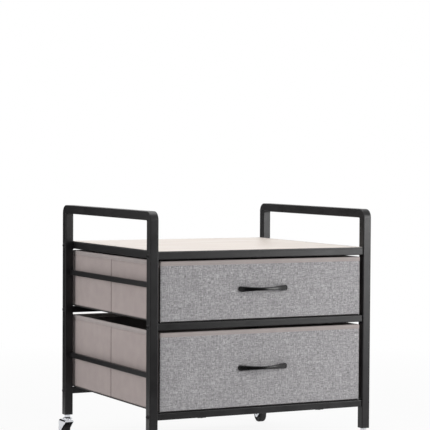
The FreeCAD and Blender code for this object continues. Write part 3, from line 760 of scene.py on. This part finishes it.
def alongLineTree(name):
    # small round-ended bars at an even pitch along a line, lying along it
    tree, given, result = treeWith(name, {
        "Pitch": "Float", "Length": "Float", "Radius": "Float", "Unevenness": "Float",
        "Material": "Material"})
    link = tree.links.new
    line = addNode(tree, "GeometryNodeMeshToCurve")
    even = addNode(tree, "GeometryNodeResampleCurve")
    even.mode = "LENGTH"
    tangent = addNode(tree, "GeometryNodeInputTangent")
    turned = addNode(tree, "FunctionNodeAlignRotationToVector", axis="X")
    chance = addNode(tree, "FunctionNodeRandomValue", {"Seed": 7}, data_type="FLOAT")
    bar = addNode(tree, "GeometryNodeMeshUVSphere", {"Segments": 6, "Rings": 4, "Radius": 1.0})
    size = addNode(tree, "ShaderNodeCombineXYZ")
    halfLength = addNode(tree, "ShaderNodeMath", {1: 0.5}, operation="MULTIPLY")
    placed = addNode(tree, "GeometryNodeInstanceOnPoints")
    real = addNode(tree, "GeometryNodeRealizeInstances")
    smooth = addNode(tree, "GeometryNodeSetShadeSmooth")
    painted = addNode(tree, "GeometryNodeSetMaterial")
    low = addNode(tree, "ShaderNodeMath", {0: 1.0}, operation="SUBTRACT")
    link(given["Geometry"], line.inputs[0])
    link(line.outputs[0], even.inputs["Curve"])
    link(given["Pitch"], even.inputs["Length"])
    link(tangent.outputs[0], turned.inputs["Vector"])
    link(given["Length"], halfLength.inputs[0])
    link(halfLength.outputs[0], size.inputs[0])
    link(given["Radius"], size.inputs[1])
    link(given["Radius"], size.inputs[2])
    link(given["Unevenness"], low.inputs[1])
    link(low.outputs[0], chance.inputs[2])
    chance.inputs[3].default_value = 1.0
    stretchedSize = addNode(tree, "ShaderNodeVectorMath", operation="SCALE")
    link(size.outputs[0], stretchedSize.inputs[0])
    link(chance.outputs[1], stretchedSize.inputs["Scale"])
    link(even.outputs[0], placed.inputs["Points"])
    link(bar.outputs["Mesh"], placed.inputs["Instance"])
    link(turned.outputs[0], placed.inputs["Rotation"])
    link(stretchedSize.outputs[0], placed.inputs["Scale"])
    link(placed.outputs[0], real.inputs[0])
    link(real.outputs[0], smooth.inputs[0])
    link(smooth.outputs[0], painted.inputs["Geometry"])
    link(given["Material"], painted.inputs["Material"])
    link(painted.outputs[0], result)
    return tree


def atPointsTree(name):
    # copies of one shape at points, its Z turned to each point's normal
    inputs = {"Shape": "Object", "Size": "Float", "Material": "Material"}
    tree, given, result = treeWith(name, inputs)
    link = tree.links.new
    points = addNode(tree, "GeometryNodeMeshToPoints")
    shape = addNode(tree, "GeometryNodeObjectInfo")
    normal = addNode(tree, "GeometryNodeInputNamedAttribute", {"Name": "facing"},
                     data_type="FLOAT_VECTOR")
    turned = addNode(tree, "FunctionNodeAlignRotationToVector", axis="Z")
    placed = addNode(tree, "GeometryNodeInstanceOnPoints")
    real = addNode(tree, "GeometryNodeRealizeInstances")
    painted = addNode(tree, "GeometryNodeSetMaterial")
    link(given["Geometry"], points.inputs[0])
    link(given["Shape"], shape.inputs[0])
    link(normal.outputs["Attribute"], turned.inputs["Vector"])
    link(points.outputs[0], placed.inputs["Points"])
    link(shape.outputs["Geometry"], placed.inputs["Instance"])
    link(turned.outputs[0], placed.inputs["Rotation"])
    link(given["Size"], placed.inputs["Scale"])
    link(placed.outputs[0], real.inputs[0])
    link(real.outputs[0], painted.inputs["Geometry"])
    link(given["Material"], painted.inputs["Material"])
    link(painted.outputs[0], result)
    return tree


def grown(name, base, tree, values):
    # runs a tree on a base mesh and keeps the result as a plain mesh
    modifier = base.modifiers.new("grow", "NODES")
    modifier.node_group = tree
    for item in tree.interface.items_tree:
        if item.in_out == "INPUT" and item.name in values:
            modifier[item.identifier] = values[item.name]
    ready = base.evaluated_get(bpy.context.evaluated_depsgraph_get())
    mesh = bpy.data.meshes.new_from_object(ready)
    mesh.name = name
    bpy.data.objects.remove(base)
    piece = bpy.data.objects.new(name, mesh)
    bpy.context.scene.collection.objects.link(piece)
    return piece


def lineMesh(name, lines):  # open or closed runs of points, as (points, closed)
    points, edges = [], []
    for run, closed in lines:
        start = len(points)
        points += run
        edges += [(start + index, start + index + 1) for index in range(len(run) - 1)]
        if closed:
            edges.append((start + len(run) - 1, start))
    mesh = bpy.data.meshes.new(name)
    mesh.from_pydata([tuple(point) for point in points], edges, [])
    line = bpy.data.objects.new(name, mesh)
    bpy.context.scene.collection.objects.link(line)
    return line


stitch = {
    "pitch": 0.0036, "length": 0.0027, "radius": 0.00032, "unevenness": 0.18, "sink": 0.00002,
    "bite": 0.0001, "seamFoot": 0.004, "seamEnd": 0.0005, "cornerPoints": 3,
}


def barValues(look, material):  # what the tree for bars along a line is given
    return {"Pitch": look["pitch"], "Length": look["length"], "Radius": look["radius"],
            "Unevenness": look["unevenness"], "Material": material}


def stitchLines(size):
    # two rows round the binding, one along the hem of sides and rear, and one each side of the folds
    look = stitch
    outer, inner = bandEdges(size)
    z = size["wallTop"] + binding["stitchDrop"]
    proud = binding["proud"] - look["bite"]
    lines = [([place + outward * proud + Vector((0, 0, z)) for place, outward in outer], True),
             ([place - outward * proud + Vector((0, 0, z)) for place, outward in inner], True)]
    steps = binSteps(size)
    hemHeight = size["low"].z + cloth["bottomSeam"]
    hem = ringAt(size, look["sink"], hemHeight, steps, cloth["rearCorner"], True)
    skipped = look["cornerPoints"]
    lines.append((hem[len(steps[0]) + skipped:-skipped], False))
    foot, end = size["low"].z + look["seamFoot"], size["wallTop"] - look["seamEnd"]
    for side in (-1, 1):
        outward = Vector((side, 0, 0))
        for pocket in (-cloth["pocketSeam"], cloth["pocketSeam"]):
            run = []
            for height in wallHeights(foot, end, ()):
                face = Vector((size["high"].x * side, size["foldY"] + pocket, height))
                run.append(face + outward * (wallOffset(face, outward, height, size) - look["sink"]))
            lines.append((run, False))
    return lines


def makeStitches(name, size, tree):
    base = lineMesh(name + "Lines", stitchLines(size))
    piece = grown(name + "_stitching", base, tree, barValues(stitch, taupeThread))
    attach(piece, name + "_drawer")


screwHead = {
    "around": 28, "recess": 0.62, "recessDepth": 0.32, "recessTaper": 0.5,
    "arm": 0.115, "armBase": 1.15, "armTaper": 0.4, "dome": 0.45, "tip": 0.3,
    "rings": (0.08, 0.16, 0.24, 0.34, 0.46, 0.58, 0.66, 0.78, 0.90, 1.0),
}


def screwShape(name, headRadius, headHeight, shankRadius, length, flush):
    # a cross-recessed screw about Z, its head's top at the origin, with a flat or a domed head
    look = screwHead
    count = look["around"]
    rings = []
    for share in look["rings"]:
        ring = []
        for step in range(count):
            turn = 2 * math.pi * step / count
            x, y = share * math.cos(turn), share * math.sin(turn)
            arm = look["arm"] * (look["armBase"] - look["armTaper"] * share)
            inArm = min(abs(x), abs(y)) < arm and share < look["recess"]
            taper = 1 - look["recessTaper"] * share
            depth = look["recessDepth"] * headRadius * taper if inArm else 0
            dome = 0 if flush else look["dome"] * headHeight * share ** 2
            ring.append(Vector((x * headRadius, y * headRadius, -depth - dome)))
        rings.append(ring)
    if flush:
        profile = [(shankRadius, -headHeight), (shankRadius, -length + shankRadius),
                   (shankRadius * look["tip"], -length)]
    else:
        profile = [(headRadius, -headHeight), (shankRadius, -headHeight), (shankRadius, -length)]
    for radius, z in profile:
        turns = [2 * math.pi * step / count for step in range(count)]
        rings.append([Vector((radius * math.cos(turn), radius * math.sin(turn), z)) for turn in turns])
    points, faces = skinned(rings, False, True)
    faces = [tuple(reversed(face)) for face in faces]
    centre = len(points)
    points.append(Vector((0, 0, -look["recessDepth"] * headRadius)))
    faces += [(step, (step + 1) % count, centre) for step in range(count)]
    return newPiece(name, points, faces, [materials["screws"]], smooth=False)


screwSets = {
    "board_screws": {
        "facing": (0, 0, 1), "head": 0.0035, "height": 0.0020, "shank": 0.00175, "length": 0.010,
        "sunk": 0, "flush": True, "body": "frame"},
    "support_screws": {
        "facing": (0, 0, -1), "head": 0.00375, "height": 0.0010, "shank": 0.002, "length": 0.0080,
        "sunk": 0.0014, "flush": False, "body": "frame"},
    "upper_handle_screws": {
        "facing": (0, 1, 0), "head": 0.004, "height": 0.0022, "shank": 0.002, "length": 0.0112,
        "sunk": 0, "flush": False, "body": "upper_drawer"},
    "lower_handle_screws": {
        "facing": (0, 1, 0), "head": 0.004, "height": 0.0022, "shank": 0.002, "length": 0.0112,
        "sunk": 0, "flush": False, "body": "lower_drawer"},
}


screwReach = {"across": 0.012, "along": 0.05, "flat": 0.0002}  # apart enough for separate screws


def screwPlaces(node, facing):  # where each screw of a node has its head, from the node's own points
    mesh = nodes[node].data
    groups = {}
    for vertex in mesh.vertices:
        flat = vertex.co - facing * vertex.co.dot(facing)
        for key in groups:
            if (Vector(key) - flat).length < screwReach["across"]:
                groups[key].append(vertex.co.copy())
                break
        else:
            groups[tuple(flat)] = [vertex.co.copy()]
    heads = []
    for members in groups.values():
        tops = sorted({round(point.dot(facing), 5) for point in members})
        steps = zip(tops, tops[1:])
        levels = [tops[-1]] + [low for low, high in steps if high - low > screwReach["along"]]
        for level in levels:
            ring = [point for point in members
                    if abs(point.dot(facing) - level) < screwReach["flat"]]
            low = Vector([min(point[axis] for point in ring) for axis in range(3)])
            high = Vector([max(point[axis] for point in ring) for axis in range(3)])
            middle = (low + high) / 2
            heads.append(middle - facing * (middle.dot(facing) - level))
    return heads


def makeScrews(node, look, tree):
    facing = Vector(look["facing"])
    places = [place - facing * look["sunk"] for place in screwPlaces(node, facing)]
    shape = screwShape(node + "Shape", look["head"], look["height"], look["shank"], look["length"],
                       look["flush"])
    base = lineMesh(node + "Points", [([place], False) for place in places])
    attribute = base.data.attributes.new("facing", "FLOAT_VECTOR", "POINT")
    for index in range(len(places)):
        attribute.data[index].vector = facing
    values = {"Shape": shape, "Size": 1.0, "Material": materials["screws"]}
    piece = grown(node + "_crossed", base, tree, values)
    bpy.data.objects.remove(shape)
    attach(piece, look["body"])
    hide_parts(node)
    print(node, len(places), "screws")


weld = {
    "pitch": 0.0013, "length": 0.0021, "radius": 0.00075, "unevenness": 0.25,
    "off": 0.0001, "inset": 0.0003,
}


def weldLines():  # round the ends of the side bars and of the top frame's side rails
    lines = []
    for side in sides:
        for bar in (side + "_upper_bar", side + "_lower_bar", "top_" + side + "_rail"):
            low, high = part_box(bar)
            out = weld["off"]
            corners = [(low.x - out, low.z - out), (high.x + out, low.z - out),
                       (high.x + out, high.z + out), (low.x - out, high.z + out)]
            for y in (low.y + weld["inset"], high.y - weld["inset"]):
                lines.append(([Vector((x, y, z)) for x, z in corners], True))
    return lines


def makeWelds(tree):
    base = lineMesh("weldLines", weldLines())
    piece = grown("weld_beads", base, tree, barValues(weld, materials["frame_steel"]))
    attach(piece, "frame")


alongLine = alongLineTree("alongLine")
atPoints = atPointsTree("atPoints")
for name in drawers:
    makeStitches(name, drawerSize[name], alongLine)
for node, look in screwSets.items():
    makeScrews(node, look, atPoints)
makeWelds(alongLine)
print("sewing, screws and welds added")


# Camera, lamps and floor

view = {
    "place": (-1.900, -3.726, 0.688), "yaw": 27.10, "pitch": 2.015, "roll": 0.35,  # degrees
    "focal": 1776, "image": 430,  # pixels
}


def makeCamera():
    yaw, pitch, roll = (math.radians(view[name]) for name in ("yaw", "pitch", "roll"))
    forward = Vector((math.sin(yaw) * math.cos(pitch), math.cos(yaw) * math.cos(pitch),
                      -math.sin(pitch)))
    level = Vector((math.cos(yaw), -math.sin(yaw), 0))
    upright = level.cross(forward)
    across = math.cos(roll) * level + math.sin(roll) * upright
    up = -math.sin(roll) * level + math.cos(roll) * upright
    data = bpy.data.cameras.new("camera")
    data.sensor_width = 36
    data.lens = data.sensor_width * view["focal"] / view["image"]
    data.clip_end = 50
    camera = bpy.data.objects.new("camera", data)
    turned = Matrix((across, up, -forward)).transposed().to_4x4()
    camera.matrix_world = Matrix.Translation(view["place"]) @ turned
    bpy.context.scene.collection.objects.link(camera)
    bpy.context.scene.camera = camera


lamps = {
    "key": {
        "place": (1.72, -1.95, 0.8), "target": (0.1, -0.2, 0.35), "size": 1.35, "power": 44,
        "mirrored": True},
    "side": {
        "place": (-2.5, -0.2, 1.0), "target": (-0.2, 0, 0.3), "size": 1.6, "power": 25.5,
        "mirrored": False},
    "top": {
        "place": (0.0, 0.2, 2.6), "target": (0, 0, 0.3), "size": 2.0, "power": 34,
        "mirrored": True},
}


def makeLamps():
    for name, look in lamps.items():
        data = bpy.data.lights.new(name, "AREA")
        data.size = look["size"]
        data.energy = look["power"]
        lamp = bpy.data.objects.new(name, data)
        place, target = Vector(look["place"]), Vector(look["target"])
        turn = (place - target).to_track_quat("Z", "Y").to_matrix().to_4x4()
        lamp.matrix_world = Matrix.Translation(place) @ turn
        lamp.visible_glossy = look["mirrored"]
        bpy.context.scene.collection.objects.link(lamp)


cards = {  # dark boards that only reflections see, so that steel and chrome get dark sides
    "frontWall": {"low": (-1.6, -2.9, 0.0), "high": (1.25, -2.9, 2.0)},
    "frontFloor": {"low": (-1.6, -2.9, 0.003), "high": (1.0, -0.7, 0.003)},
    "rearWall": {"low": (-1.5, 2.0, 0.0), "high": (-0.35, 2.0, 1.7)},
    "rearFloor": {"low": (-1.5, 0.65, 0.003), "high": (-0.42, 2.0, 0.003)},
}


def makeCards():
    dark, _, _, _ = newMaterial("darkCard", {
        "Base Color": (0.004, 0.004, 0.004, 1), "Roughness": 1.0, "Specular IOR Level": 0.0})
    for name, look in cards.items():
        (x0, y0, z0), (x1, y1, z1) = look["low"], look["high"]
        if z1 > z0 + 0.1:
            points = [(x0, y0, z0), (x1, y0, z0), (x1, y1, z1), (x0, y1, z1)]
        else:
            points = [(x0, y0, z0), (x1, y0, z0), (x1, y1, z0), (x0, y1, z0)]
        card = newPiece(name + "Card", points, [(0, 1, 2, 3)], [dark], smooth=False)
        card.visible_camera = card.visible_diffuse = card.visible_shadow = False
        card.visible_transmission = False


def seenRays(tree):  # 1 for what the camera, a mirror or glass looks at, 0 for light on the object
    rays = addNode(tree, "ShaderNodeLightPath")
    some = maths(tree, "MAXIMUM", rays.outputs["Is Camera Ray"], rays.outputs["Is Glossy Ray"])
    return maths(tree, "MAXIMUM", some, rays.outputs["Is Transmission Ray"])


room = {
    "ambient": 0.28, "floorSize": 12.0, "floorColour": tone(238, 238, 238),
    "shadowShare": 0.12, "clearFrom": 0.8, "clearTo": 2.2,
}


def makeWorld():
    world = bpy.data.worlds.new("studio")
    bpy.context.scene.world = world
    world.use_nodes = True
    tree = world.node_tree
    background = tree.nodes["Background"]
    background.inputs["Color"].default_value = (1, 1, 1, 1)
    level = spread(tree, seenRays(tree), 0, 1, room["ambient"], 1)
    tree.links.new(level, background.inputs["Strength"])


def floorMaterial():
    gloss = {"Roughness": 0.8, "Specular IOR Level": 0.1}
    material, tree, shader, place = newMaterial("paleFloor", gloss)
    shader.inputs["Base Color"].default_value = (*room["floorColour"], 1)
    white = addNode(tree, "ShaderNodeEmission")
    mixed = addNode(tree, "ShaderNodeMixShader")
    distance = addNode(tree, "ShaderNodeVectorMath", operation="LENGTH")
    tree.links.new(place, distance.inputs[0])
    near, far = room["clearFrom"], room["clearTo"]
    clear = spread(tree, distance.outputs["Value"], near, far, 1 - room["shadowShare"], 1)
    tree.links.new(maths(tree, "MULTIPLY", seenRays(tree), clear), mixed.inputs["Fac"])
    tree.links.new(shader.outputs[0], mixed.inputs[1])
    tree.links.new(white.outputs[0], mixed.inputs[2])
    tree.links.new(mixed.outputs[0], tree.nodes["Material Output"].inputs["Surface"])
    return material


def makeFloor():
    half = room["floorSize"] / 2
    points = [(-half, -half, 0), (half, -half, 0), (half, half, 0), (-half, half, 0)]
    floor = newPiece("floor", points, [(0, 1, 2, 3)], [floorMaterial()], smooth=False)


makeCamera()
makeLamps()
makeWorld()
makeFloor()
makeCards()
bpy.context.scene.view_settings.view_transform = "Standard"
print("studio ready")
